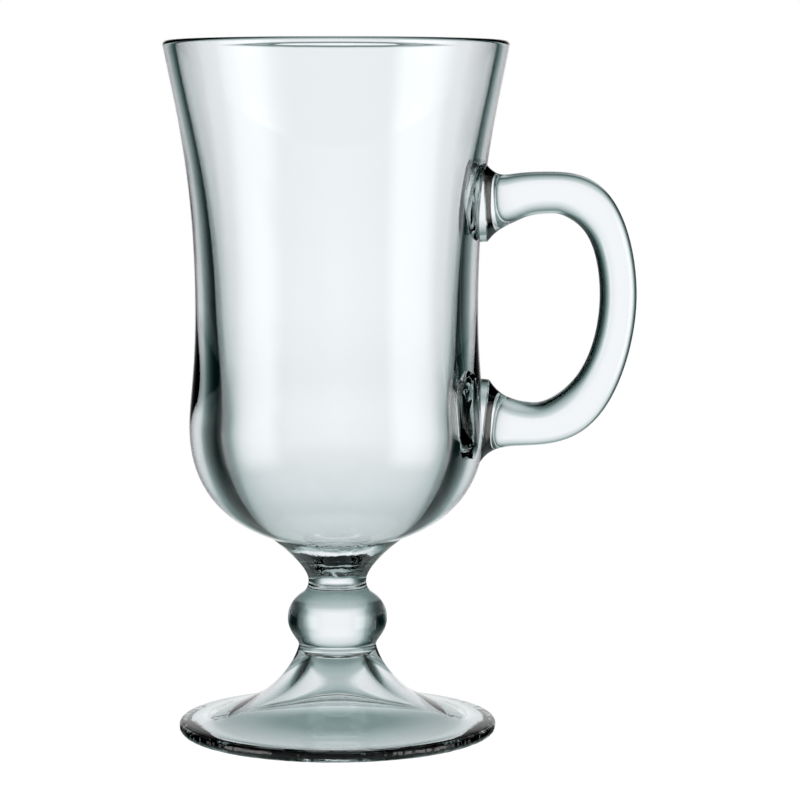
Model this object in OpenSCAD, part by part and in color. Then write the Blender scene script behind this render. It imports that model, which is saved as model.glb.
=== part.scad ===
// Irish coffee mug of clear glass: a tall waisted bowl on a short neck, a round
// knop and a hollow bell foot, with a looped handle fused to the bowl's wall.
// Millimetres. +Z is up and the foot stands on z = 0. The turned pieces share the
// Z axis, and the handle lies in the XZ plane on the +X side.

/* [Bowl] */
// Height of the bowl, from its shoulder over the neck to the rim
bowl_h = 105.2; // [85:1:130]
// Outer diameter at the rim
rim_d = 73; // [66:0.5:84]
// Outer diameter at the waist
waist_d = 60; // [52:0.5:64]
// Outer diameter at the belly
belly_d = 62.8; // [58:0.5:66]
// Diameter of the shoulder, where the bowl's underside turns into its neck
shoulder_d = 28.4; // [24:0.5:32]
// Height of the belly above the shoulder
belly_rise = 23.4; // [20:0.5:28]
// Height of the waist above the belly
waist_rise = 25.6; // [20:0.5:30]
// Thickness of the lip
lip_t = 2.5; // [1.8:0.1:3.2]
// Radius of the lip's outer edge
lip_outer_round = 0.9; // [0.5:0.1:1.1]
// Radius of the lip's inner edge
lip_inner_round = 0.3; // [0.2:0.1:0.6]
// Wall thickness at the waist
waist_wall = 4.3; // [3:0.1:6]
// Wall thickness at the belly
belly_wall = 6.6; // [4:0.1:8]
// Height of the lowest place of the bowl's inside above the shoulder
well_rise = 0.4; // [0.1:0.1:2]

/* [Neck and knop] */
// Height of the neck, from the knop to the bowl's shoulder
neck_h = 11.5; // [9:0.1:16]
// Smallest diameter of the neck
neck_d = 12.4; // [9:0.1:15]
// Height of the neck's smallest diameter above the knop
neck_waist_rise = 2.1; // [1.5:0.1:4]
// Height above the knop at which the bowl's drawn stem meets the neck
neck_top_rise = 6.3; // [5:0.1:8]
// Height of the knop
knop_h = 11.7; // [9:0.1:16]
// Largest diameter of the knop
knop_d = 21.3; // [18:0.1:26]
// Height of the knop's largest diameter above its foot
knop_mid_rise = 5.7; // [4.5:0.1:8]
// Diameter of the crease where the neck stands on the knop
knop_top_d = 13.8; // [12:0.1:17.5]

/* [Foot] */
// Height of the foot, from the table to the groove under the knop
foot_h = 18.9; // [15:0.1:24]
// Outer diameter of the foot
foot_d = 67.8; // [60:0.5:78]
// Diameter of the groove between the foot and the knop
groove_d = 16.6; // [14:0.1:18]
// Thickness of the foot's rounded edge
foot_edge_t = 3.4; // [3:0.1:6]
// Width of the foot's rounded edge, measured inwards
foot_edge_w = 4.1; // [3:0.1:6]
// Diameter of the hollow under the foot at the table
hollow_d = 55; // [48:0.5:57]
// Diameter of the hollow's flat top
hollow_top_d = 11.2; // [9:0.1:12]
// Thickness of glass between the hollow's top and the groove
hollow_roof = 2.3; // [1:0.1:4]

/* [Handle] */
// Distance from the bowl's axis to the outside of the handle
handle_reach = 63.5; // [58:0.5:72]
// Height of the lower arm's middle above the shoulder
arm_low_rise = 24.4; // [22:0.1:28]
// Height of the upper arm's middle above the lower arm's
arm_span = 48.9; // [42:0.1:56]
// Height of the outermost point of the grip above the lower arm's middle
grip_rise = 27.2; // [20:0.1:31]
// Thickness of the handle at the grip, across the loop
grip_t = 7.8; // [6:0.1:10]
// Thickness of the handle's arms
arm_t = 8.8; // [7:0.1:11]
// Thickness that the handle gains where an arm turns into the grip
turn_swell = 1.1; // [0:0.1:2]
// Depth of the handle, front to back
handle_depth = 9.6; // [7:0.1:12]
// Height that the flared seat on the wall gains outside the loop
seat_outer_rise = 5.5; // [3:0.1:7]
// Height that the seat gains inside the loop
seat_inner_rise = 3.7; // [2:0.1:6]
// Depth of the seat, front to back
seat_depth = 14; // [11:0.1:18]
// Length over which the flare outside the loop dies away
flare_outer_len = 3.3; // [2:0.1:5]
// Length over which the flare inside the loop dies away
flare_inner_len = 2.4; // [1.5:0.1:4]
// Drop of the upper arm from its crest to the wall
arm_drop = 2.4; // [0:0.1:4]
// Rise of the lower arm from its lowest place to the wall
arm_rise = 1.5; // [0:0.1:3]

/* [Hidden] */

$fn = 96;
glass_tint = [0.80, 0.87, 0.86, 0.55];

// Radii of the turned pieces
rim_r = rim_d / 2;
waist_r = waist_d / 2;
belly_r = belly_d / 2;
shoulder_r = shoulder_d / 2;
neck_r = neck_d / 2;
knop_r = knop_d / 2;
knop_top_r = knop_top_d / 2;
groove_r = groove_d / 2;
foot_r = foot_d / 2;
hollow_r = hollow_d / 2;
hollow_top_r = hollow_top_d / 2;

// Heights above the table
groove_z = foot_h;
knop_z = groove_z + knop_mid_rise;
knop_top_z = groove_z + knop_h;
neck_waist_z = knop_top_z + neck_waist_rise;
neck_top_z = knop_top_z + neck_top_rise;
shoulder_z = knop_top_z + neck_h;
belly_z = shoulder_z + belly_rise;
waist_z = belly_z + waist_rise;
rim_z = shoulder_z + bowl_h;
well_z = shoulder_z + well_rise;
foot_edge_z = foot_edge_t / 2;
hollow_z = foot_h - hollow_roof;

// Points worked out along each curved stretch
outline_steps = 12;
lip_steps = 8;
handle_steps = 16;
handle_sides = 24;

// Directions at the ends of the curves, in the r-z half plane
up = [0, 1];
down = [0, -1];
outwards = [1, 0];
inwards = [-1, 0];

// How hard each curve holds its end directions, first end then last,
// as shares of the distance between its ends
rim_pull_shares = [0.24, 0.50];
belly_pull_shares = [0.24, 0.52];
under_pull_shares = [0.28, 0.50];
cone_pull_shares = [0.28, 0.08];
collar_pull_shares = [0.30, 0.30];
knop_upper_pull_shares = [0.49, 0.30];
knop_lower_pull_shares = [0.20, 0.50];
foot_pull_shares = [0.71, 0.02];
inner_wall_pull_shares = [0.40, 0.42];
well_pull_shares = [0.46, 0.38];
hollow_pull_shares = [0.12, 0.78];
edge_pull_shares = [0.34, 0.58];
upper_arm_pull_shares = [0.60, 0.54];
lower_arm_pull_shares = [0.35, 0.35];
upper_loop_pull_shares = [0.47, 0.25];
lower_loop_pull_shares = [0.33, 0.40];

// How far the foot's contact ring lies inside its edge, in half edge thicknesses
foot_edge_round = 1.5;

// Slopes of the outline, as shares of its run
rim_slope_share = 0.19;
under_slope_share = 0.35;
neck_cone_slope_share = 1.1;
collar_slope_share = 1;
knop_top_slope_share = 1.3;
foot_top_slope_share = 0.155;
hollow_top_slope_share = 0.2;
hollow_mouth_slope_share = 0.42;

// A cubic curve between two points that leaves and arrives along given directions
function unit(v) = v / norm(v);
function cubic(a, b, c, d, t) =
    pow(1 - t, 3) * a + 3 * pow(1 - t, 2) * t * b + 3 * (1 - t) * t * t * c + t * t * t * d;
function curve(start, leave, end, arrive, pull_shares, steps) =
    let (reach = norm(end - start),
         b = start + unit(leave) * reach * pull_shares[0],
         c = end - unit(arrive) * reach * pull_shares[1])
    [for (i = [0:steps]) cubic(start, b, c, end, i / steps)];
// The same curve without its first point, to follow on from another
function onward(points) = [for (i = [1:len(points) - 1]) points[i]];

// The bowl's outside, from the neck joint up to the rounded lip
shoulder_point = [shoulder_r, shoulder_z];
neck_waist_point = [neck_r, neck_waist_z];
belly_point = [belly_r, belly_z];
waist_point = [waist_r, waist_z];
lip_lean = [rim_slope_share, 1];
lean_angle = atan(rim_slope_share);
lip_outer_mid = [rim_r - lip_outer_round, rim_z - lip_outer_round];
lip_inner_mid = [rim_r - lip_t + lip_inner_round, rim_z - lip_inner_round];
function lip_outer_at(a) = lip_outer_mid + lip_outer_round * [cos(a), sin(a)];
function lip_inner_at(a) = lip_inner_mid + lip_inner_round * [cos(a), sin(a)];
lip_outer_point = lip_outer_at(-lean_angle);
lip_inner_point = lip_inner_at(180 - lean_angle);

// The neck's concave cone, from its smallest diameter up to the bowl's shoulder
cone_steps = 16;
cone_curve = curve(neck_waist_point, up, shoulder_point,
    [neck_cone_slope_share, 1], cone_pull_shares, cone_steps);
function radius_at(points, z) =
    let (i = max([for (k = [0:len(points) - 2]) if (points[k][1] <= z) k]))
    let (a = points[i], b = points[i + 1])
    a[0] + (b[0] - a[0]) * (z - a[1]) / (b[1] - a[1]);
neck_top_r = radius_at(cone_curve, neck_top_z);
cone_above_joint = [for (p = cone_curve) if (p[1] > neck_top_z) p];
cone_below_joint = [for (p = cone_curve) if (p[1] < neck_top_z) p];

underside_curve = curve(shoulder_point, [1, under_slope_share],
    belly_point, up, under_pull_shares, outline_steps);
belly_curve = curve(belly_point, up, waist_point, up, belly_pull_shares, outline_steps);
upper_wall_curve = curve(waist_point, up, lip_outer_point, lip_lean,
    [rim_pull_shares[1], rim_pull_shares[0]], outline_steps);
bowl_outside = concat([[neck_top_r, neck_top_z]], cone_above_joint,
    onward(underside_curve), onward(belly_curve), onward(upper_wall_curve));

// The lip has a full round outside and a small one inside, with a narrow flat between
lip_arc = concat(
    [for (i = [1:lip_steps]) lip_outer_at(-lean_angle + (90 + lean_angle) * i / lip_steps)],
    [for (i = [0:lip_steps - 1]) lip_inner_at(90 + (90 - lean_angle) * i / lip_steps)]);

// The bowl's inside, from the lip down to the middle of the well
inner_waist_point = [waist_r - waist_wall, waist_z];
inner_belly_point = [belly_r - belly_wall, belly_z];
inner_belly_lean = [waist_r - waist_wall - belly_r + belly_wall, waist_z - belly_z];
inner_wall_curve = curve(lip_inner_point, -lip_lean, inner_waist_point,
    -inner_belly_lean, inner_wall_pull_shares, outline_steps);
inner_waist_curve = curve(inner_waist_point, -inner_belly_lean, inner_belly_point,
    down, [belly_pull_shares[1], belly_pull_shares[0]], outline_steps);
well_curve = curve(inner_belly_point, down, [0, well_z], inwards,
    [well_pull_shares[1], well_pull_shares[0]], outline_steps * 2);
bowl_inside = concat(inner_wall_curve, onward(inner_waist_curve), onward(well_curve));

module bowl() {
    color(glass_tint)
    rotate_extrude()
    polygon(concat([[0, neck_top_z]], bowl_outside, lip_arc, bowl_inside));
}

// The neck is a small solid gather between the bowl's drawn stem and the knop
collar_point = [knop_top_r, knop_top_z];
collar_curve = curve(collar_point, [-collar_slope_share, 1], neck_waist_point, up,
    [collar_pull_shares[1], collar_pull_shares[0]], outline_steps);

module neck() {
    color(glass_tint)
    rotate_extrude()
    polygon(concat([[0, knop_top_z]], collar_curve, onward(cone_below_joint),
        [[neck_top_r, neck_top_z], [0, neck_top_z]]));
}

// The knop is a flattened ball, fullest a little above its middle
groove_point = [groove_r, groove_z];
knop_point = [knop_r, knop_z];
knop_lower_curve = curve(groove_point, up, knop_point, up,
    knop_lower_pull_shares, outline_steps);
knop_upper_curve = curve(knop_point, up, collar_point, [-knop_top_slope_share, 1],
    [knop_upper_pull_shares[0], knop_upper_pull_shares[1]], outline_steps);

module knop() {
    color(glass_tint)
    rotate_extrude()
    polygon(concat([[0, groove_z]], knop_lower_curve, onward(knop_upper_curve),
        [[0, knop_top_z]]));
}

// The foot is a bell with a rounded edge, and stands on a flat ring
edge_top_point = [foot_r - foot_edge_w, foot_edge_t];
edge_point = [foot_r, foot_edge_z];
ring_point = [foot_r - foot_edge_round * foot_edge_z, 0];
bell_curve = curve(edge_top_point, [-1, foot_top_slope_share], groove_point, up,
    foot_pull_shares, outline_steps * 2);
edge_top_curve = curve(edge_point, up, edge_top_point, [-1, foot_top_slope_share],
    edge_pull_shares, outline_steps);
edge_low_curve = curve(ring_point, outwards, edge_point, up,
    [edge_pull_shares[1], edge_pull_shares[0]], outline_steps);
hollow_curve = curve([hollow_top_r, hollow_z], [hollow_top_slope_share, -1],
    [hollow_r, 0], [1, -hollow_mouth_slope_share], hollow_pull_shares, outline_steps);

module foot() {
    color(glass_tint)
    rotate_extrude()
    polygon(concat([[0, groove_z], [0, hollow_z]], hollow_curve, edge_low_curve,
        onward(edge_top_curve), onward(bell_curve)));
}

// The handle's middle line: out from the wall, round the loop and back, in x and z
arm_low_z = shoulder_z + arm_low_rise;
arm_high_z = arm_low_z + arm_span;
grip_x = handle_reach - grip_t / 2;
grip_z = arm_low_z + grip_rise;
// The arms turn into the loop at these shares of the way from the axis to the grip
upper_turn_share = 0.77;
lower_turn_share = 0.70;
upper_turn_x = grip_x * upper_turn_share;
lower_turn_x = grip_x * lower_turn_share;
// The arms start inside the wall, and the bowl's outside cuts them off
arm_root_x = waist_r - waist_wall / 2;
upper_root = [arm_root_x, arm_high_z - arm_drop];
lower_root = [arm_root_x, arm_low_z + arm_rise];
upper_turn = [upper_turn_x, arm_high_z];
lower_turn = [lower_turn_x, arm_low_z];
grip_point = [grip_x, grip_z];
handle_line = concat(
    curve(upper_root, outwards, upper_turn, outwards, upper_arm_pull_shares, handle_steps),
    onward(curve(upper_turn, outwards, grip_point, down,
        upper_loop_pull_shares, handle_steps)),
    onward(curve(grip_point, down, lower_turn, inwards,
        lower_loop_pull_shares, handle_steps)),
    onward(curve(lower_turn, inwards, lower_root, inwards,
        lower_arm_pull_shares, handle_steps)));

// The section is an oblong, squarer outside the loop than inside it. It flares into
// its seats at the wall, swells where it turns, and is thinnest at the grip.
outer_oblong_share = 0.62;
inner_oblong_share = 0.95;
function eased(t) = let (c = min(1, max(0, t))) c * c * (3 - 2 * c);
function flare_at(p, fade) = exp(-max(0, p[0] - belly_r) / fade);
function turned_share(p) =
    let (turn_x = p[1] > grip_z ? upper_turn_x : lower_turn_x)
    eased((p[0] - turn_x) / (grip_x - turn_x));
function bar_t_at(p) =
    let (e = turned_share(p))
    arm_t + (grip_t - arm_t) * e + turn_swell * 4 * e * (1 - e);
function outer_t_at(p) = bar_t_at(p) / 2 + seat_outer_rise * flare_at(p, flare_outer_len);
function inner_t_at(p) = bar_t_at(p) / 2 + seat_inner_rise * flare_at(p, flare_inner_len);
function depth_at(p) =
    handle_depth + (seat_depth - handle_depth) * flare_at(p, flare_inner_len);
function oblong(v, roundness) = sign(v) * pow(abs(v), roundness);

// The direction across the middle line at its point i, in x and z
function across(i) =
    let (last = len(handle_line) - 1,
         along = handle_line[min(i + 1, last)] - handle_line[max(i - 1, 0)])
    unit([-along[1], along[0]]);
function ring(i) =
    let (p = handle_line[i], n = across(i), d = depth_at(p) / 2)
    [for (k = [0:handle_sides - 1])
        let (a = 360 * k / handle_sides,
             outside = cos(a) > 0,
             t = outside ? outer_t_at(p) : inner_t_at(p),
             roundness = outside ? outer_oblong_share : inner_oblong_share,
             q = p + n * t * oblong(cos(a), roundness))
        [q[0], d * oblong(sin(a), roundness), q[1]]];

module swept_handle() {
    rings = len(handle_line);
    points = [for (i = [0:rings - 1]) each ring(i)];
    first_end = [[for (k = [0:handle_sides - 1]) k]];
    last_end = [[for (k = [handle_sides - 1:-1:0]) (rings - 1) * handle_sides + k]];
    walls = [for (i = [0:rings - 2], k = [0:handle_sides - 1])
        let (here = i * handle_sides, next = here + handle_sides,
             turn = (k + 1) % handle_sides)
        each [[here + k, next + k, next + turn], [here + k, next + turn, here + turn]]];
    polyhedron(points, concat(first_end, walls, last_end), convexity = 6);
}

// The bowl's outside as one solid, which trims the handle's seats to the wall
module bowl_blank() {
    rotate_extrude()
    polygon(concat([[0, neck_top_z]], bowl_outside, [[0, lip_outer_point[1]]]));
}

module handle() {
    color(glass_tint)
    difference() {
        swept_handle();
        bowl_blank();
    }
}

bowl();
neck();
knop();
foot();
handle();
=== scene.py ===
"""An Irish coffee mug of clear glass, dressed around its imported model.

Lengths are metres in the model's own frame: +Z is up, the foot stands on z = 0, the
turned pieces share the Z axis, and the handle is on the +X side.
"""

import math

import bmesh
import bpy
from bpy.props import FloatProperty, FloatVectorProperty, IntProperty, PointerProperty
from bpy.types import Operator, Panel, PropertyGroup
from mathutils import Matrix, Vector


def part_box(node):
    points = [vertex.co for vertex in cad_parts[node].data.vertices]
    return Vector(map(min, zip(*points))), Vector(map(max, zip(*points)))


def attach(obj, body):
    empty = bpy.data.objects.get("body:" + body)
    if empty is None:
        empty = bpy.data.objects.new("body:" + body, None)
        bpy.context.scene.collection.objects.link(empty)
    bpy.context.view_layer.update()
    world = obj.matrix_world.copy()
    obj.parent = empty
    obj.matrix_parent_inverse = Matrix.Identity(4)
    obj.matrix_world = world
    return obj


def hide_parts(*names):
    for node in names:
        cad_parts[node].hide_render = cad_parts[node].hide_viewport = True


bl_info = {
    "name": "Irish Coffee Mug",
    "version": (1, 0, 0),
    "blender": (4, 5, 0),
    "location": "3D View > Sidebar > Mug",
    "description": "Dresses a footed glass mug with fire-polished glass in a bright studio",
    "category": "Object",
}

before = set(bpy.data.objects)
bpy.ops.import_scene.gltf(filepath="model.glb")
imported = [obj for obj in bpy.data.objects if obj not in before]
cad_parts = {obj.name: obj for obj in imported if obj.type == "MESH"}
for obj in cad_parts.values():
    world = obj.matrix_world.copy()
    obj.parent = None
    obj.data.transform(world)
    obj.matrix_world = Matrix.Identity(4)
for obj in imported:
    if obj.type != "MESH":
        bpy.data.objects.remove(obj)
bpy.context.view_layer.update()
BOWL_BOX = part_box("bowl")
NECK_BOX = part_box("neck")
KNOP_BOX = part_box("knop")
FOOT_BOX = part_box("foot")
HANDLE_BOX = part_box("handle")

MM = 0.001
UP = Vector((0, 1))
DOWN = Vector((0, -1))
OUTWARDS = Vector((1, 0))
INWARDS = Vector((-1, 0))
AXIS = Vector((0, 0, 1))
# Closer than this, two points are one and two heights are the same
SAME_PLACE = 1e-7
SAME_HEIGHT = 1e-6
# Under the whole mug, where the ramp of the chill marks starts
UNDERSIDE_Z = -1 * MM
# Faces that meet at more than this have a sharp edge between them
SHARP_DEGREES = 35
SENSOR_WIDTH = 36.0
# Sockets of a Mix node that carry colours
COLOUR_A, COLOUR_B, COLOUR_OUT = 6, 7, 2

# Directions of the outlines where two stretches meet, as radius and height
RIM_LEAN = Vector((0.19, 1))
SHOULDER_LEAN = Vector((1, 0.35))
CONE_LEAN = Vector((1.1, 1))
COLLAR_LEAN = Vector((-1, 1))
KNOP_LEAN = Vector((-1.3, 1))
HOLLOW_LEAN = Vector((0.2, -1))
MOUTH_LEAN = Vector((1, -0.42))
FOOT_SLOPE = Vector((-1, 0.155))

# How far each stretch follows its two end directions, as shares of its span
SHOULDER_PULLS = (0.28, 0.50)
BELLY_PULLS = (0.24, 0.52)
FLARE_PULLS = (0.50, 0.24)
INNER_FLARE_PULLS = (0.40, 0.42)
INNER_BELLY_PULLS = (0.52, 0.24)
WELL_PULLS = (0.38, 0.46)
CONE_PULLS = (0.28, 0.08)
COLLAR_PULLS = (0.30, 0.30)
KNOP_LOW_PULLS = (0.20, 0.50)
KNOP_HIGH_PULLS = (0.49, 0.30)
HOLLOW_PULLS = (0.12, 0.78)
EDGE_LOW_PULLS = (0.58, 0.34)
EDGE_HIGH_PULLS = (0.34, 0.58)
BELL_PULLS = (0.71, 0.02)
LOOP_PULLS = ((0.60, 0.54), (0.47, 0.25), (0.33, 0.40), (0.35, 0.35))

# Brightness of the studio as the glass passes it on, against the angle in degrees
# from the middle of the bright field, and against the angle above the horizon
FIELD = (
    (0, 0.97), (8, 0.965), (14, 0.91), (18, 0.83), (22, 0.68), (24.5, 0.52), (26.5, 0.33),
    (32.5, 0.14), (37, 0.055), (41, 0.022), (46, 0.008), (62, 0.008), (70, 0.03),
    (80, 0.12), (95, 0.30), (110, 0.40), (130, 0.6), (180, 0.95),
)
FIELD_CAST = (0.985, 1.0, 1.03)
TONE_POWERS = (1.25, 1.0, 1.03)
FALL = (
    (-90, 0.9), (-78, 0.6), (-65, 0.15), (-55, 0.08), (-41, 0.08), (-35, 0.11), (-30, 0.27),
    (-23, 0.52), (-17, 0.75), (-14, 0.97), (-7, 1.0), (0, 1.0), (11, 1.0), (20, 0.80),
    (35, 0.30), (40, 0.36), (46, 0.70), (53, 0.50), (60, 0.66), (65, 0.62), (72, 0.42),
    (80, 0.52), (90, 0.75),
)
# Two soft boxes, seen only as reflections, against the turn from the bright field
BOXES = (
    (-180, 0.08), (-139, 0.08), (-126, 0.9), (-116, 1.0), (-104, 0.85), (-92, 0.2), (-80, 0.25),
    (-74, 0.0), (-30, 0.0), (-20, 0.02), (-9, 0.25), (9, 0.25), (20, 0.02), (30, 0.0),
    (74, 0.0), (80, 0.25), (92, 0.2), (102, 0.85), (116, 1.0), (130, 0.9), (141, 0.08),
    (180, 0.08),
)
BOX_LEVEL = 3.6
# How much of the boxes and of the bright table is mirrored, against the angle above the
# horizon
BOX_RISE = ((-90, 0.0), (-30, 0.0), (-18, 1.0), (10, 1.0), (24, 0.2), (90, 0.12))
TABLE_SHINE = ((-90, 0.15), (-60, 0.2), (-48, 0.5), (-36, 0.6), (-25, 0.3), (-14, 0.0), (90, 0.0))
# Brightness of the table through the glass, a painted shadow of the mug that is dark under and
# round the foot and lighter further out, and how much of it stays in sight there, against the
# distance from the axis
TABLE_PAINTED_SHADOW = (
    (0.0, 0.30), (0.0125, 0.33), (0.02, 0.50), (0.026, 0.64), (0.0275, 0.72), (0.034, 0.50),
    (0.04, 0.22), (0.052, 0.28), (0.068, 0.50), (0.095, 0.62), (0.13, 0.80),
)
TABLE_SIGHT = ((0.0, 1.0), (0.10, 1.0), (0.16, 0.0))
# How much painted shade of the studio's dark flags the table's glow takes, against the distance
# from the axis
TABLE_FLAG_SHADE_SHARE = ((0.0, 0.0), (0.042, 0.0), (0.075, 1.0))


def length(name, text, default, low=0.0, high=1.0):
    """A length that a user may change, in metres."""
    return FloatProperty(
        name=name, description=text, default=default, min=low, max=high,
        unit="LENGTH", subtype="DISTANCE", precision=5,
    )


def share(name, text, default, low=0.0, high=1.0):
    """A plain number between two limits."""
    return FloatProperty(name=name, description=text, default=default, min=low, max=high)


def colour(name, text, default):
    """A linear colour that a user may change."""
    return FloatVectorProperty(
        name=name, description=text, default=default, min=0.0, max=1.0,
        size=3, subtype="COLOR",
    )


class MugShape(PropertyGroup):
    """Sizes of the glass. Those that the model states come from it."""

    rim_r: length("Rim radius", "Outside of the rim", BOWL_BOX[1][0])
    rim_z: length("Rim height", "Top of the lip above the table", BOWL_BOX[1][2])
    lip_t: length("Lip thickness", "Thickness of the lip", 2.5 * MM)
    lip_outer_round: length("Lip outer radius", "Radius of its outer edge", 0.9 * MM)
    lip_inner_round: length("Lip inner radius", "Radius of its inner edge", 0.3 * MM)
    waist_r: length("Waist radius", "Outside of the bowl at its waist", 30.0 * MM)
    waist_z: length("Waist height", "Height of the waist", 91.1 * MM)
    waist_wall: length("Waist wall", "Thickness of glass at the waist", 4.3 * MM)
    belly_r: length("Belly radius", "Outside of the bowl at its belly", 31.4 * MM)
    belly_z: length("Belly height", "Height of the belly", 65.5 * MM)
    belly_wall: length("Belly wall", "Thickness of glass at the belly", 6.6 * MM)
    shoulder_r: length("Shoulder radius", "Where the bowl turns into its neck", 14.2 * MM)
    shoulder_z: length("Shoulder height", "Height of that turn", 42.1 * MM)
    well_z: length("Well height", "Lowest place of the bowl's inside", 42.5 * MM)
    neck_r: length("Neck radius", "The narrowest place of the stem", 6.2 * MM)
    neck_z: length("Neck height", "Height of the narrowest place", 32.7 * MM)
    seam_high_z: length("Bowl seam", "Where the bowl meets the neck", NECK_BOX[1][2])
    seam_mid_z: length("Neck seam", "Where the neck meets the knop", KNOP_BOX[1][2])
    collar_r: length("Collar radius", "The crease where the neck stands", 6.9 * MM)
    knop_r: length("Knop radius", "The fullest place of the knop", KNOP_BOX[1][0])
    knop_z: length("Knop height", "Height of its fullest place", 24.6 * MM)
    groove_r: length("Groove radius", "The groove under the knop", 8.3 * MM)
    seam_low_z: length("Foot seam", "Where the knop meets the foot", FOOT_BOX[1][2])
    foot_r: length("Foot radius", "Outside of the foot", FOOT_BOX[1][0])
    foot_edge_t: length("Foot edge thickness", "Thickness of the rounded edge", 3.4 * MM)
    foot_edge_w: length("Foot edge width", "Width of the rounded edge", 4.1 * MM)
    foot_edge_round: share("Foot edge roundness", "Low rounding over its height", 0.75)
    hollow_r: length("Hollow radius", "The hollow under the foot, at the table", 27.5 * MM)
    hollow_top_r: length("Hollow top radius", "The hollow's flat top", 5.6 * MM)
    hollow_z: length("Hollow height", "Height of the hollow's flat top", 16.6 * MM)
    seam_gap: length("Seam gap", "Air left between two pieces at a fused seam", 0.02 * MM)
    turn_steps: IntProperty(
        name="Steps round", description="Faces round a turned piece", default=192, min=24
    )
    curve_steps: IntProperty(
        name="Steps along", description="Faces along each curved stretch", default=32, min=4
    )
    lip_outer_steps: IntProperty(
        name="Lip outer steps", description="Faces along its outer edge", default=20, min=2
    )
    lip_inner_steps: IntProperty(
        name="Lip inner steps", description="Faces along its inner edge", default=10, min=2
    )


class MugHandle(PropertyGroup):
    """Sizes of the handle's loop."""

    reach: length("Reach", "From the axis to the outside of the loop", HANDLE_BOX[1][0])
    arm_low_z: length("Lower arm height", "Lowest place of the lower arm", 66.5 * MM)
    arm_high_z: length("Upper arm height", "Crest of the upper arm", 115.4 * MM)
    arm_drop: length("Arm drop", "Fall of the upper arm to the wall", 2.4 * MM)
    arm_rise: length("Arm rise", "Rise of the lower arm to the wall", 1.5 * MM)
    grip_z: length("Grip height", "Outermost place of the loop", 93.7 * MM)
    grip_t: length("Grip thickness", "Across the loop, at the grip", 7.8 * MM)
    arm_t: length("Arm thickness", "Across the loop, at the arms", 8.8 * MM)
    turn_swell: length("Turn swell", "Gained where an arm turns into the grip", 1.1 * MM)
    depth: length("Depth", "Front to back", 9.6 * MM)
    seat_depth: length("Seat depth", "Front to back at the wall", 14.0 * MM)
    seat_outer_rise: length("Outer flare", "Gained at the wall, outside the loop", 5.5 * MM)
    seat_inner_rise: length("Inner flare", "Gained at the wall, inside the loop", 3.7 * MM)
    flare_outer_len: length("Outer flare length", "How fast it dies away", 3.3 * MM)
    flare_inner_len: length("Inner flare length", "How fast it dies away", 2.4 * MM)
    high_turn: share("Upper arm share", "Part of the way to the grip where it turns", 0.77)
    low_turn: share("Lower arm share", "Part of the way to the grip where it turns", 0.70)
    outer_oblong: share("Outer roundness", "1 is an ellipse, less is squarer", 0.62)
    inner_oblong: share("Inner roundness", "1 is an ellipse, less is squarer", 0.95)
    rings: IntProperty(name="Rings", description="Rings along each stretch", default=40, min=8)
    sides: IntProperty(name="Sides", description="Sides of each ring", default=64, min=12)


class MugGlass(PropertyGroup):
    """The finish of the glass."""

    tint: colour("Tint", "Colour of light through one face", (0.985, 0.990, 0.988))
    cord_tint: colour("Cord tint", "Colour in the faint streaks", (0.970, 0.980, 0.977))
    base_tint: colour("Base tint", "Tint of the thick bottom", (0.878, 0.900, 0.900))
    base_z: length("Base tint height", "Where the bottom's tint fades out", 62.5 * MM)
    base_full_z: length("Full base tint", "Under it the tint is full", 52.5 * MM)
    base_end_z: length("Base tint end", "Under it the stem is clear again", 42.0 * MM)
    base_fade: length("Base tint fade", "Height over which it fades into the stem", 2.0 * MM)
    streak_scale: share("Streak scale", "Streaks per metre", 45.0, 1.0, 1000.0)
    streak_detail: share("Streak detail", "Finer streaks in the streaks", 2.0, 0.0, 15.0)
    drawn_share: share("Drawn share", "Waves and streaks are this much longer upwards", 0.4)
    index: share("Index", "Refractive index", 1.5, 1.0, 2.5)
    ripple: length("Ripple", "Height of the slow waves in the surface", 0.03 * MM)
    ripple_scale: share("Ripple scale", "Waves per metre", 80.0, 1.0, 1000.0)
    chill: length("Chill", "Height of the chill marks in stem and foot", 1.0 * MM)
    chill_scale: share("Chill scale", "Chill marks per metre", 260.0, 1.0, 2000.0)
    chill_edge_z: length("Chill edge", "Under it the foot's edge is marked", 2.2 * MM)
    chill_edge_fade: length("Chill edge fade", "Height of the fade over it", 0.6 * MM)
    chill_edge_r: length("Chill edge radius", "The edge is marked outside it", 31.2 * MM)
    chill_edge_run: length("Chill edge run", "Width of the fade from it", 0.8 * MM)
    chill_low_z: length("Chill start", "The stem is marked over this height", 33.0 * MM)
    chill_low_fade: length("Chill start fade", "Height of the fade over it", 2.0 * MM)
    chill_high_z: length("Chill end", "The stem is marked under this height", 42.0 * MM)
    chill_high_fade: length("Chill end fade", "Height of the fade under it", 1.0 * MM)
    chill_stem: share("Chill share", "Height of the stem's marks over the foot's", 0.35)


class MugStudio(PropertyGroup):
    """The camera and the light."""

    camera_x: length("Camera offset", "Camera to the right of the mug's axis", 13.4 * MM)
    camera_away: length("Camera distance", "From the axis, level", 630.0 * MM, 0.1, 10.0)
    camera_z: length("Camera height", "Above the table", 131.5 * MM, 0.0, 10.0)
    camera_pitch: share("Camera pitch", "Degrees below the horizon", 5.45, 0.0, 90.0)
    lens: share("Lens", "Focal length in millimetres on a 36 mm sensor", 133.9, 1.0, 1000.0)
    floor_r: length("Table radius", "The round table under the mug", 0.6, 0.1, 5.0)
    floor_drop: length("Table drop", "Gap that keeps the table off the glass", 0.05 * MM)
    floor_sides: IntProperty(name="Table sides", description="Sides of it", default=96, min=12)
    floor_glow: share("Table glow", "White that the table gives by itself", 0.96)
    paper: share("Table paper", "How much light the table throws back", 0.3)


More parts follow.
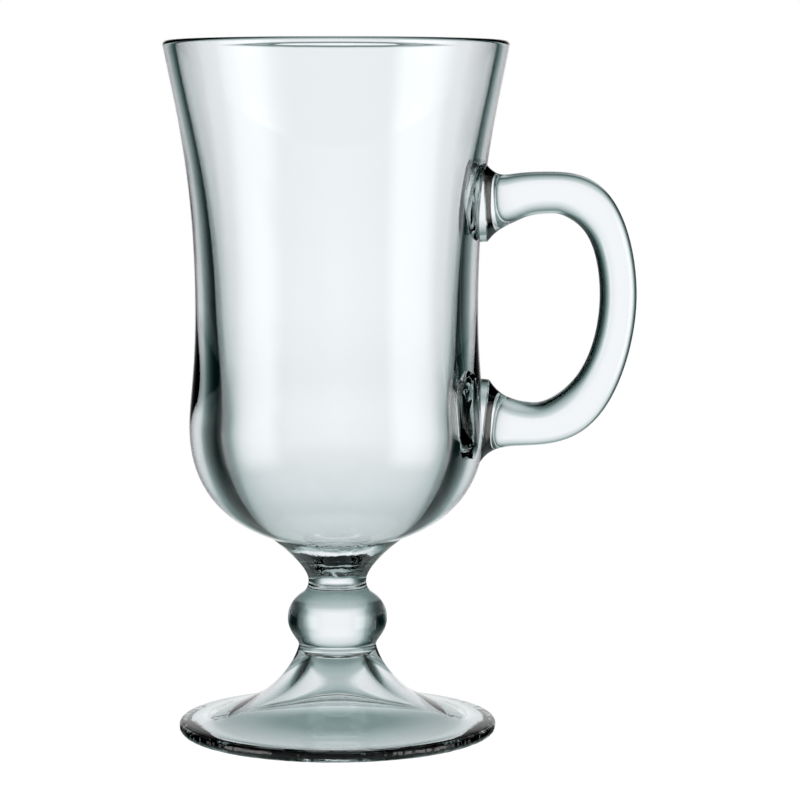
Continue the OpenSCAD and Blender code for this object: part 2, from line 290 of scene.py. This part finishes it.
def curve(start, leave, end, arrive, pulls, steps):
    """Points of a cubic that leaves and arrives along two directions."""
    start, end = Vector(start), Vector(end)
    reach = (end - start).length
    near = start + Vector(leave).normalized() * reach * pulls[0]
    far = end - Vector(arrive).normalized() * reach * pulls[1]
    points = []
    for i in range(steps + 1):
        t = i / steps
        s = 1 - t
        points.append(
            s * s * s * start + 3 * s * s * t * near + 3 * s * t * t * far + t * t * t * end
        )
    return points


def chain(*stretches):
    """Joins stretches of points that follow each other, without their doubles."""
    points = []
    for stretch in stretches:
        for point in stretch:
            if not points or (Vector(point) - points[-1]).length > SAME_PLACE:
                points.append(Vector(point))
    return points


def radius_at(points, z):
    """The radius of an outline that climbs, at a height."""
    for low, high in zip(points, points[1:]):
        if low.y <= z <= high.y:
            t = (z - low.y) / max(high.y - low.y, SAME_PLACE)
            return low.x + (high.x - low.x) * t
    return points[-1].x


def cone_outline(s):
    """The neck's hollow cone, from its narrowest place up to the bowl's shoulder."""
    return curve(
        (s.neck_r, s.neck_z), UP, (s.shoulder_r, s.shoulder_z), CONE_LEAN,
        CONE_PULLS, s.curve_steps * 2,
    )


def lip_arc(middle, radius, start, end, steps):
    """Points of an arc in the r-z half plane, between two angles in radians."""
    return [
        Vector(middle) + Vector((math.cos(a), math.sin(a))) * radius
        for a in (start + (end - start) * i / steps for i in range(steps + 1))
    ]


def lip_outline(s):
    """The lip: a full round outside, a narrow flat and a small round inside."""
    lean = math.atan(RIM_LEAN.x)
    outer_mid = (s.rim_r - s.lip_outer_round, s.rim_z - s.lip_outer_round)
    inner_mid = (s.rim_r - s.lip_t + s.lip_inner_round, s.rim_z - s.lip_inner_round)
    return chain(
        lip_arc(outer_mid, s.lip_outer_round, -lean, math.pi / 2, s.lip_outer_steps),
        lip_arc(inner_mid, s.lip_inner_round, math.pi / 2, math.pi - lean, s.lip_inner_steps),
    )


def bowl_outside(s):
    """The bowl's outside, from the shoulder up to the lip."""
    n = s.curve_steps
    lip = lip_outline(s)[0]
    belly, waist = (s.belly_r, s.belly_z), (s.waist_r, s.waist_z)
    return chain(
        curve((s.shoulder_r, s.shoulder_z), SHOULDER_LEAN, belly, UP, SHOULDER_PULLS, n * 2),
        curve(belly, UP, waist, UP, BELLY_PULLS, n),
        curve(waist, UP, lip, RIM_LEAN, FLARE_PULLS, n * 2),
    )


def bowl_inside(s):
    """The bowl's inside, from the lip down to the middle of the well."""
    n = s.curve_steps
    lip = lip_outline(s)[-1]
    waist = Vector((s.waist_r - s.waist_wall, s.waist_z))
    belly = Vector((s.belly_r - s.belly_wall, s.belly_z))
    fall = belly - waist
    return chain(
        curve(lip, -RIM_LEAN, waist, fall, INNER_FLARE_PULLS, n * 2),
        curve(waist, fall, belly, DOWN, INNER_BELLY_PULLS, n),
        curve(belly, DOWN, (0, s.well_z), INWARDS, WELL_PULLS, n * 2),
    )


def turned(name, outline, steps):
    """Spins an outline of (radius, height) points into a closed mesh round the axis."""
    bm = bmesh.new()
    verts = [bm.verts.new((p.x, 0, p.y)) for p in outline]
    edges = [bm.edges.new(pair) for pair in zip(verts, verts[1:])]
    bmesh.ops.spin(
        bm, geom=verts + edges, cent=(0, 0, 0), axis=AXIS, angle=math.tau,
        steps=steps, use_merge=True, use_duplicate=False,
    )
    bmesh.ops.remove_doubles(bm, verts=bm.verts, dist=SAME_PLACE)
    bmesh.ops.recalc_face_normals(bm, faces=bm.faces)
    return as_piece(name, bm)


def as_piece(name, bm):
    """Makes a smooth object of a bmesh and puts it in the scene."""
    mesh = bpy.data.meshes.new(name)
    for face in bm.faces:
        face.smooth = True
    bm.to_mesh(mesh)
    bm.free()
    piece = bpy.data.objects.new(name, mesh)
    bpy.context.scene.collection.objects.link(piece)
    return piece


def finish_piece(piece, node, materials):
    """Gives a piece its materials and its place in the model."""
    for material in materials:
        piece.data.materials.append(material)
    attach(piece, "root")
    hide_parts(node)


def mark_seam(piece, height):
    """Gives a flat seam's faces the second material, with a sharp edge round them."""
    mesh = piece.data
    bm = bmesh.new()
    bm.from_mesh(mesh)
    seam = set()
    for face in bm.faces:
        if all(abs(v.co.z - height) < SAME_HEIGHT for v in face.verts):
            face.material_index = 1
            seam.add(face)
    for edge in bm.edges:
        sides = [face in seam for face in edge.link_faces]
        if any(sides) and not all(sides):
            edge.smooth = False
    bm.to_mesh(mesh)
    bm.free()


def glass_material(p):
    """Clear glass with faint streaks, slow waves, chill marks and a denser bottom."""
    material = bpy.data.materials.new("polished_glass")
    material.use_nodes = True
    tree = material.node_tree
    nodes, links = tree.nodes, tree.links
    shader = nodes["Principled BSDF"]
    shader.inputs["Roughness"].default_value = 0.0
    shader.inputs["IOR"].default_value = p.index
    shader.inputs["Transmission Weight"].default_value = 1.0
    place = nodes.new("ShaderNodeTexCoord")
    drawn = nodes.new("ShaderNodeMapping")
    drawn.inputs["Scale"].default_value = (1, 1, p.drawn_share)
    links.new(place.outputs["Object"], drawn.inputs["Vector"])
    streaks = nodes.new("ShaderNodeTexNoise")
    streaks.inputs["Scale"].default_value = p.streak_scale
    streaks.inputs["Detail"].default_value = p.streak_detail
    links.new(drawn.outputs["Vector"], streaks.inputs["Vector"])
    streaked = blended(tree, tuple(p.tint), tuple(p.cord_tint), streaks.outputs["Fac"], "MIX")
    split = nodes.new("ShaderNodeSeparateXYZ")
    links.new(place.outputs["Object"], split.inputs[0])
    clear, dense = (1, 1, 1), tuple(p.base_tint)
    depth = ramp_node(tree, split.outputs["Z"], 0, p.base_z, (
        (0, clear), (p.base_end_z, clear), (p.base_end_z + p.base_fade, dense),
        (p.base_full_z, dense), (p.base_z, clear),
    ))
    links.new(blended(tree, streaked, depth), shader.inputs["Base Color"])
    waves = nodes.new("ShaderNodeTexNoise")
    waves.inputs["Scale"].default_value = p.ripple_scale
    links.new(drawn.outputs["Vector"], waves.inputs["Vector"])
    marks = nodes.new("ShaderNodeTexNoise")
    marks.inputs["Scale"].default_value = p.chill_scale
    links.new(drawn.outputs["Vector"], marks.inputs["Vector"])
    marked = ramp_node(tree, split.outputs["Z"], UNDERSIDE_Z, p.base_z, (
        (p.chill_edge_z, grey(1)), (p.chill_edge_z + p.chill_edge_fade, grey(0)),
        (p.chill_low_z, grey(0)), (p.chill_low_z + p.chill_low_fade, grey(p.chill_stem)),
        (p.chill_high_z - p.chill_high_fade, grey(p.chill_stem)), (p.chill_high_z, grey(0)),
    ))
    away = nodes.new("ShaderNodeVectorMath")
    away.operation = "LENGTH"
    links.new(place.outputs["Object"], away.inputs[0])
    outer = ramp_node(tree, away.outputs["Value"], 0, p.base_z, (
        (p.chill_edge_r, grey(0)), (p.chill_edge_r + p.chill_edge_run, grey(1)),
    ))
    slow = math_node(tree, "MULTIPLY", waves.outputs["Fac"], p.ripple)
    quick = math_node(tree, "MULTIPLY", marks.outputs["Fac"], p.chill)
    quick = math_node(tree, "MULTIPLY", quick, blended(tree, marked, outer))
    bump = nodes.new("ShaderNodeBump")
    bump.inputs["Distance"].default_value = 1.0
    links.new(math_node(tree, "ADD", slow, quick), bump.inputs["Height"])
    links.new(bump.outputs["Normal"], shader.inputs["Normal"])
    return material


def seam_material():
    """The inside of a fused seam, where the glass runs on and nothing is seen."""
    material = bpy.data.materials.new("fused_seam")
    material.use_nodes = True
    shader = material.node_tree.nodes["Principled BSDF"]
    shader.inputs["Base Color"].default_value = (1, 1, 1, 1)
    shader.inputs["Alpha"].default_value = 0.0
    return material


def glass_and_seam():
    """The glass and the seam, made once."""
    glass = bpy.data.materials.get("polished_glass")
    seam = bpy.data.materials.get("fused_seam")
    if glass is None:
        glass = glass_material(bpy.context.scene.mug_glass)
    if seam is None:
        seam = seam_material()
    return glass, seam


class MUG_OT_bowl(Operator):
    """Makes the bowl with its drawn stem"""

    bl_idname = "mug.bowl"
    bl_label = "Bowl"

    def execute(self, context):
        s = context.scene.mug_shape
        cone = cone_outline(s)
        seam_z = s.seam_high_z + s.seam_gap / 2
        start = Vector((radius_at(cone, seam_z), seam_z))
        stem = [Vector((0, seam_z)), start]
        stem += [p for p in cone if p.y > seam_z + SAME_HEIGHT]
        outline = chain(stem, bowl_outside(s), lip_outline(s), bowl_inside(s))
        piece = turned("bowl_glass", outline, s.turn_steps)
        mark_seam(piece, seam_z)
        finish_piece(piece, "bowl", glass_and_seam())
        return {"FINISHED"}


class MUG_OT_neck(Operator):
    """Makes the neck between the bowl and the knop"""

    bl_idname = "mug.neck"
    bl_label = "Neck"

    def execute(self, context):
        s = context.scene.mug_shape
        cone = cone_outline(s)
        high_z = s.seam_high_z - s.seam_gap / 2
        low_z = s.seam_mid_z + s.seam_gap / 2
        collar = curve(
            (s.collar_r, low_z), COLLAR_LEAN, (s.neck_r, s.neck_z), UP,
            COLLAR_PULLS, s.curve_steps,
        )
        outline = chain(
            [(0, low_z)], collar, [p for p in cone if p.y < high_z - SAME_HEIGHT],
            [(radius_at(cone, high_z), high_z), (0, high_z)],
        )
        piece = turned("neck_glass", outline, s.turn_steps)
        mark_seam(piece, low_z)
        mark_seam(piece, high_z)
        finish_piece(piece, "neck", glass_and_seam())
        return {"FINISHED"}


class MUG_OT_knop(Operator):
    """Makes the knop in the stem"""

    bl_idname = "mug.knop"
    bl_label = "Knop"

    def execute(self, context):
        s = context.scene.mug_shape
        high_z = s.seam_mid_z - s.seam_gap / 2
        low_z = s.seam_low_z + s.seam_gap / 2
        full = (s.knop_r, s.knop_z)
        outline = chain(
            [(0, low_z)],
            curve((s.groove_r, low_z), UP, full, UP, KNOP_LOW_PULLS, s.curve_steps),
            curve(full, UP, (s.collar_r, high_z), KNOP_LEAN, KNOP_HIGH_PULLS, s.curve_steps),
            [(0, high_z)],
        )
        piece = turned("knop_glass", outline, s.turn_steps)
        mark_seam(piece, low_z)
        mark_seam(piece, high_z)
        finish_piece(piece, "knop", glass_and_seam())
        return {"FINISHED"}


class MUG_OT_foot(Operator):
    """Makes the hollow bell foot"""

    bl_idname = "mug.foot"
    bl_label = "Foot"

    def execute(self, context):
        s = context.scene.mug_shape
        high_z = s.seam_low_z - s.seam_gap / 2
        edge_top = (s.foot_r - s.foot_edge_w, s.foot_edge_t)
        edge = (s.foot_r, s.foot_edge_t / 2)
        ring = (s.foot_r - s.foot_edge_t * s.foot_edge_round, 0)
        n = s.curve_steps
        outline = chain(
            [(0, s.hollow_z)],
            curve(
                (s.hollow_top_r, s.hollow_z), HOLLOW_LEAN, (s.hollow_r, 0), MOUTH_LEAN,
                HOLLOW_PULLS, n,
            ),
            curve(ring, OUTWARDS, edge, UP, EDGE_LOW_PULLS, n // 2),
            curve(edge, UP, edge_top, FOOT_SLOPE, EDGE_HIGH_PULLS, n // 2),
            curve(edge_top, FOOT_SLOPE, (s.groove_r, high_z), UP, BELL_PULLS, n * 2),
            [(0, high_z)],
        )
        piece = turned("foot_glass", outline, s.turn_steps)
        mark_seam(piece, high_z)
        finish_piece(piece, "foot", glass_and_seam())
        return {"FINISHED"}


def eased(t):
    """A smooth step from 0 to 1."""
    t = min(1.0, max(0.0, t))
    return t * t * (3 - 2 * t)


def handle_line(s, h):
    """The handle's middle line in x and z: out from the wall, round and back."""
    root_x = s.waist_r - s.waist_wall / 2
    grip_x = h.reach - h.grip_t / 2
    grip = (grip_x, h.grip_z)
    high = (grip_x * h.high_turn, h.arm_high_z)
    low = (grip_x * h.low_turn, h.arm_low_z)
    stations = (
        ((root_x, h.arm_high_z - h.arm_drop), OUTWARDS), (high, OUTWARDS), (grip, DOWN),
        (low, INWARDS), ((root_x, h.arm_low_z + h.arm_rise), INWARDS),
    )
    return chain(*(
        curve(*start, *end, pulls, h.rings)
        for start, end, pulls in zip(stations, stations[1:], LOOP_PULLS)
    ))


def handle_section(p, s, h):
    """Half thicknesses outside and inside the loop, and half depth, at a point."""
    grip_x = h.reach - h.grip_t / 2
    turn_x = grip_x * (h.high_turn if p.y > h.grip_z else h.low_turn)
    turn = eased((p.x - turn_x) / (grip_x - turn_x))
    bar = (h.arm_t + (h.grip_t - h.arm_t) * turn + 4 * h.turn_swell * turn * (1 - turn)) / 2
    away = max(0.0, p.x - s.belly_r)
    outer = bar + h.seat_outer_rise * math.exp(-away / h.flare_outer_len)
    flare = math.exp(-away / h.flare_inner_len)
    inner = bar + h.seat_inner_rise * flare
    return outer, inner, (h.depth + (h.seat_depth - h.depth) * flare) / 2


def oblong(value, roundness):
    """One side of a rounded oblong."""
    return math.copysign(abs(value) ** roundness, value)


def swept_handle(name, s, h):
    """The handle's bar from inside the wall, round the loop and back into it."""
    line = handle_line(s, h)
    bm = bmesh.new()
    loops = []
    for i, p in enumerate(line):
        along = line[min(i + 1, len(line) - 1)] - line[max(i - 1, 0)]
        across = Vector((-along.y, along.x)).normalized()
        outer, inner, half_depth = handle_section(p, s, h)
        ring = []
        for k in range(h.sides):
            a = math.tau * (k + 0.5) / h.sides
            outside = math.cos(a) > 0
            roundness = h.outer_oblong if outside else h.inner_oblong
            q = p + across * (outer if outside else inner) * oblong(math.cos(a), roundness)
            ring.append(bm.verts.new((q.x, half_depth * oblong(math.sin(a), roundness), q.y)))
        loops.append([bm.edges.new((ring[k - 1], ring[k])) for k in range(h.sides)])
    for a, b in zip(loops, loops[1:]):
        bmesh.ops.bridge_loops(bm, edges=a + b)
    bmesh.ops.holes_fill(bm, edges=loops[0] + loops[-1])
    bmesh.ops.recalc_face_normals(bm, faces=bm.faces)
    return as_piece(name, bm)


def bowl_blank(name, s, swell):
    """The bowl's outside as one solid, swollen a little, with the seam material."""
    outside = [Vector((p.x + swell, p.y)) for p in bowl_outside(s)]
    top = Vector((0, outside[-1].y))
    blank = turned(name, chain([(0, outside[0].y)], outside, [top]), s.turn_steps)
    for material in glass_and_seam():
        blank.data.materials.append(material)
    for face in blank.data.polygons:
        face.material_index = 1
    return blank


def cut_away(piece, cutter):
    """Takes one closed mesh out of another and deletes the cutter."""
    cut = piece.modifiers.new("cut", "BOOLEAN")
    cut.operation = "DIFFERENCE"
    cut.solver = "EXACT"
    cut.material_mode = "INDEX"
    cut.object = cutter
    with bpy.context.temp_override(object=piece, active_object=piece):
        bpy.ops.object.modifier_apply(modifier=cut.name)
    bpy.data.objects.remove(cutter)


def sharpen(piece, degrees):
    """Marks the edges between faces that meet at more than an angle as sharp."""
    bm = bmesh.new()
    bm.from_mesh(piece.data)
    limit = math.radians(degrees)
    for edge in bm.edges:
        if len(edge.link_faces) == 2 and edge.calc_face_angle() > limit:
            edge.smooth = False
    bm.to_mesh(piece.data)
    bm.free()


class MUG_OT_handle(Operator):
    """Makes the handle's loop and welds it to the bowl"""

    bl_idname = "mug.handle"
    bl_label = "Handle"

    def execute(self, context):
        s, h = context.scene.mug_shape, context.scene.mug_handle
        bowl = bpy.data.objects["bowl_glass"]
        piece = swept_handle("handle_glass", s, h)
        finish_piece(piece, "handle", glass_and_seam())
        stamp = swept_handle("stamp", s, h)
        for material in glass_and_seam():
            stamp.data.materials.append(material)
        cut_away(stamp, bowl_blank("shallow_blank", s, -s.seam_gap / 2))
        cut_away(bowl, stamp)
        cut_away(piece, bowl_blank("blank", s, s.seam_gap / 2))
        sharpen(piece, SHARP_DEGREES)
        sharpen(bowl, SHARP_DEGREES)
        return {"FINISHED"}


class MUG_OT_stage(Operator):
    """Sets up the camera, the table and the light"""

    bl_idname = "mug.stage"
    bl_label = "Stage"

    def execute(self, context):
        scene = context.scene
        st = scene.mug_studio
        camera = bpy.data.cameras.new("camera")
        camera.lens = st.lens
        camera.sensor_width = SENSOR_WIDTH
        eye = bpy.data.objects.new("camera", camera)
        eye.location = (st.camera_x, -st.camera_away, st.camera_z)
        eye.rotation_euler = (math.radians(90 - st.camera_pitch), 0, 0)
        scene.collection.objects.link(eye)
        scene.camera = eye
        scene.view_settings.view_transform = "Standard"
        studio_floor(st)
        studio_world(scene)
        return {"FINISHED"}


def feed(tree, socket, value):
    """Gives a socket a plain number or a colour, or links another socket to it."""
    if isinstance(value, (int, float)):
        socket.default_value = value
    elif isinstance(value, tuple):
        socket.default_value = (*value, 1)
    else:
        tree.links.new(value, socket)


def math_node(tree, operation, *values):
    """A Math node whose inputs are linked sockets or plain numbers."""
    node = tree.nodes.new("ShaderNodeMath")
    node.operation = operation
    for socket, value in zip(node.inputs, values):
        feed(tree, socket, value)
    return node.outputs[0]


def ramp_node(tree, source, low, high, stops):
    """Colours along a socket that runs from low to high. A stop is (place, colour)."""
    spread = tree.nodes.new("ShaderNodeMapRange")
    spread.inputs["From Min"].default_value = low
    spread.inputs["From Max"].default_value = high
    tree.links.new(source, spread.inputs["Value"])
    node = tree.nodes.new("ShaderNodeValToRGB")
    tree.links.new(spread.outputs["Result"], node.inputs["Fac"])
    ramp = node.color_ramp
    while len(ramp.elements) < len(stops):
        ramp.elements.new(1.0)
    for element, (place, tone) in zip(ramp.elements, stops):
        element.position = (place - low) / (high - low)
        element.color = (*tone, 1)
    return node.outputs["Color"]


def studio_tone(level):
    """A tone of the studio: neutral when bright and greener as it darkens."""
    return tuple(level ** power for power in TONE_POWERS)


def field_tone(level):
    """The same with the bright field's own cast."""
    return tuple(part * cast for part, cast in zip(studio_tone(level), FIELD_CAST))


def grey(level):
    """A neutral tone."""
    return (level, level, level)


def box_light(level):
    """A neutral tone at the soft boxes' level."""
    return grey(level * BOX_LEVEL)


def tones(stops, tone):
    """Stops of a ramp, each with the colour that a tone gives its level."""
    return [(place, tone(level)) for place, level in stops]


def blended(tree, first, second, factor=1.0, how="MULTIPLY"):
    """Two colours multiplied, or blended in another way."""
    mix = tree.nodes.new("ShaderNodeMix")
    mix.data_type = "RGBA"
    mix.blend_type = how
    feed(tree, mix.inputs["Factor"], factor)
    feed(tree, mix.inputs[COLOUR_A], first)
    feed(tree, mix.inputs[COLOUR_B], second)
    return mix.outputs[COLOUR_OUT]


def azimuth_of(tree, vector):
    """The angle in degrees from +Y towards +X of a vector, and the node that splits it."""
    split = tree.nodes.new("ShaderNodeSeparateXYZ")
    tree.links.new(vector, split.inputs[0])
    turn = math_node(tree, "ARCTAN2", split.outputs["X"], split.outputs["Y"])
    return math_node(tree, "DEGREES", turn), split


def picked(tree, ray, otherwise, chosen):
    """One shader for a kind of ray and another for the rest."""
    path = tree.nodes.new("ShaderNodeLightPath")
    mix = tree.nodes.new("ShaderNodeMixShader")
    tree.links.new(path.outputs[ray], mix.inputs[0])
    tree.links.new(otherwise, mix.inputs[1])
    tree.links.new(chosen, mix.inputs[2])
    return mix.outputs[0]


def shone(tree, kind, colour_socket=None, strength=1.0):
    """A Background or Emission shader of a colour, white if it has none."""
    shader = tree.nodes.new(kind)
    shader.inputs["Color"].default_value = (1, 1, 1, 1)
    shader.inputs["Strength"].default_value = strength
    if colour_socket is not None:
        tree.links.new(colour_socket, shader.inputs["Color"])
    return shader.outputs[0]


def studio_world(scene):
    """A bright field behind the mug, dark flags beside it and two soft boxes."""
    world = bpy.data.worlds.new("studio")
    scene.world = world
    world.use_nodes = True
    tree = world.node_tree
    tree.nodes.clear()
    place = tree.nodes.new("ShaderNodeTexCoord")
    azimuth, split = azimuth_of(tree, place.outputs["Generated"])
    off_axis = math_node(tree, "ABSOLUTE", azimuth)
    height = math_node(tree, "DEGREES", math_node(tree, "ARCSINE", split.outputs["Z"]))
    field = ramp_node(tree, off_axis, 0, 180, tones(FIELD, field_tone))
    fall = ramp_node(tree, height, -90, 90, tones(FALL, studio_tone))
    boxes = ramp_node(tree, azimuth, -180, 180, tones(BOXES, grey))
    through = shone(tree, "ShaderNodeBackground", blended(tree, field, fall))
    rise = ramp_node(tree, height, -90, 90, tones(BOX_RISE, box_light))
    shine = ramp_node(tree, height, -90, 90, tones(TABLE_SHINE, studio_tone))
    mirror = blended(tree, blended(tree, boxes, rise), shine, 1.0, "ADD")
    mirrored = shone(tree, "ShaderNodeBackground", mirror)
    white = shone(tree, "ShaderNodeBackground")
    glass = picked(tree, "Is Transmission Ray", mirrored, through)
    out = tree.nodes.new("ShaderNodeOutputWorld")
    tree.links.new(picked(tree, "Is Camera Ray", glass, white), out.inputs["Surface"])


def studio_floor(st):
    """A round white table that meets the white ground and keeps a faint shadow. Through the glass
    it glows instead with a painted shadow of the mug and painted shade of the dark flags, and
    lets the studio through further out.
    """
    bm = bmesh.new()
    bmesh.ops.create_circle(bm, cap_ends=True, segments=st.floor_sides, radius=st.floor_r)
    bmesh.ops.translate(bm, verts=bm.verts, vec=(0, 0, -st.floor_drop))
    table = as_piece("table", bm)
    material = bpy.data.materials.new("white_table")
    material.use_nodes = True
    tree = material.node_tree
    nodes, links = tree.nodes, tree.links
    nodes.clear()
    place = nodes.new("ShaderNodeTexCoord")
    off_axis = math_node(tree, "ABSOLUTE", azimuth_of(tree, place.outputs["Object"])[0])
    away = nodes.new("ShaderNodeVectorMath")
    away.operation = "LENGTH"
    links.new(place.outputs["Object"], away.inputs[0])
    # Painted shadow of the mug on the table, dark under and round the foot, shown as a glow to
    # rays through the glass
    painted_table_shade = ramp_node(tree, away.outputs["Value"], 0, st.floor_r, tones(TABLE_PAINTED_SHADOW, field_tone))
    sight = ramp_node(tree, away.outputs["Value"], 0, st.floor_r, tones(TABLE_SIGHT, grey))
    flag_shade_share = ramp_node(tree, away.outputs["Value"], 0, st.floor_r, tones(TABLE_FLAG_SHADE_SHARE, grey))
    # Painted shade of the studio's dark flags on the table's glow, by the turn round the axis,
    # taken in further out
    field = ramp_node(tree, off_axis, 0, 180, tones(FIELD, studio_tone))
    painted_table_shade = blended(tree, painted_table_shade, field, flag_shade_share)
    open_air = nodes.new("ShaderNodeBsdfTransparent")
    through = nodes.new("ShaderNodeMixShader")
    links.new(sight, through.inputs[0])
    links.new(open_air.outputs[0], through.inputs[1])
    links.new(shone(tree, "ShaderNodeEmission", painted_table_shade), through.inputs[2])
    paper = nodes.new("ShaderNodeBsdfDiffuse")
    paper.inputs["Color"].default_value = (st.paper, st.paper, st.paper, 1)
    seen = nodes.new("ShaderNodeAddShader")
    links.new(shone(tree, "ShaderNodeEmission", None, st.floor_glow), seen.inputs[0])
    links.new(paper.outputs[0], seen.inputs[1])
    glass = picked(tree, "Is Transmission Ray", open_air.outputs[0], through.outputs[0])
    out = nodes.new("ShaderNodeOutputMaterial")
    links.new(picked(tree, "Is Camera Ray", glass, seen.outputs[0]), out.inputs["Surface"])
    table.data.materials.append(material)


class MUG_PT_panel(Panel):
    """Lists the steps in the order in which they run"""

    bl_idname = "MUG_PT_panel"
    bl_label = "Irish Coffee Mug"
    bl_space_type = "VIEW_3D"
    bl_region_type = "UI"
    bl_category = "Mug"

    def draw(self, context):
        for step in STEPS:
            self.layout.operator(step.bl_idname)


STEPS = (MUG_OT_stage, MUG_OT_bowl, MUG_OT_neck, MUG_OT_knop, MUG_OT_foot, MUG_OT_handle)
GROUPS = {
    "mug_shape": MugShape,
    "mug_handle": MugHandle,
    "mug_glass": MugGlass,
    "mug_studio": MugStudio,
}
CLASSES = (*GROUPS.values(), *STEPS, MUG_PT_panel)


def register():
    """Registers the classes and hangs the settings on the scene."""
    for each in CLASSES:
        bpy.utils.register_class(each)
    for name, group in GROUPS.items():
        setattr(bpy.types.Scene, name, PointerProperty(type=group))


def unregister():
    """Undoes register."""
    for name in GROUPS:
        delattr(bpy.types.Scene, name)
    for each in reversed(CLASSES):
        bpy.utils.unregister_class(each)


def main():
    """Builds the mug and its stage."""
    register()
    bpy.ops.mug.stage()
    bpy.ops.mug.bowl()
    bpy.ops.mug.neck()
    bpy.ops.mug.knop()
    bpy.ops.mug.foot()
    bpy.ops.mug.handle()


if __name__ == "__main__":
    main()
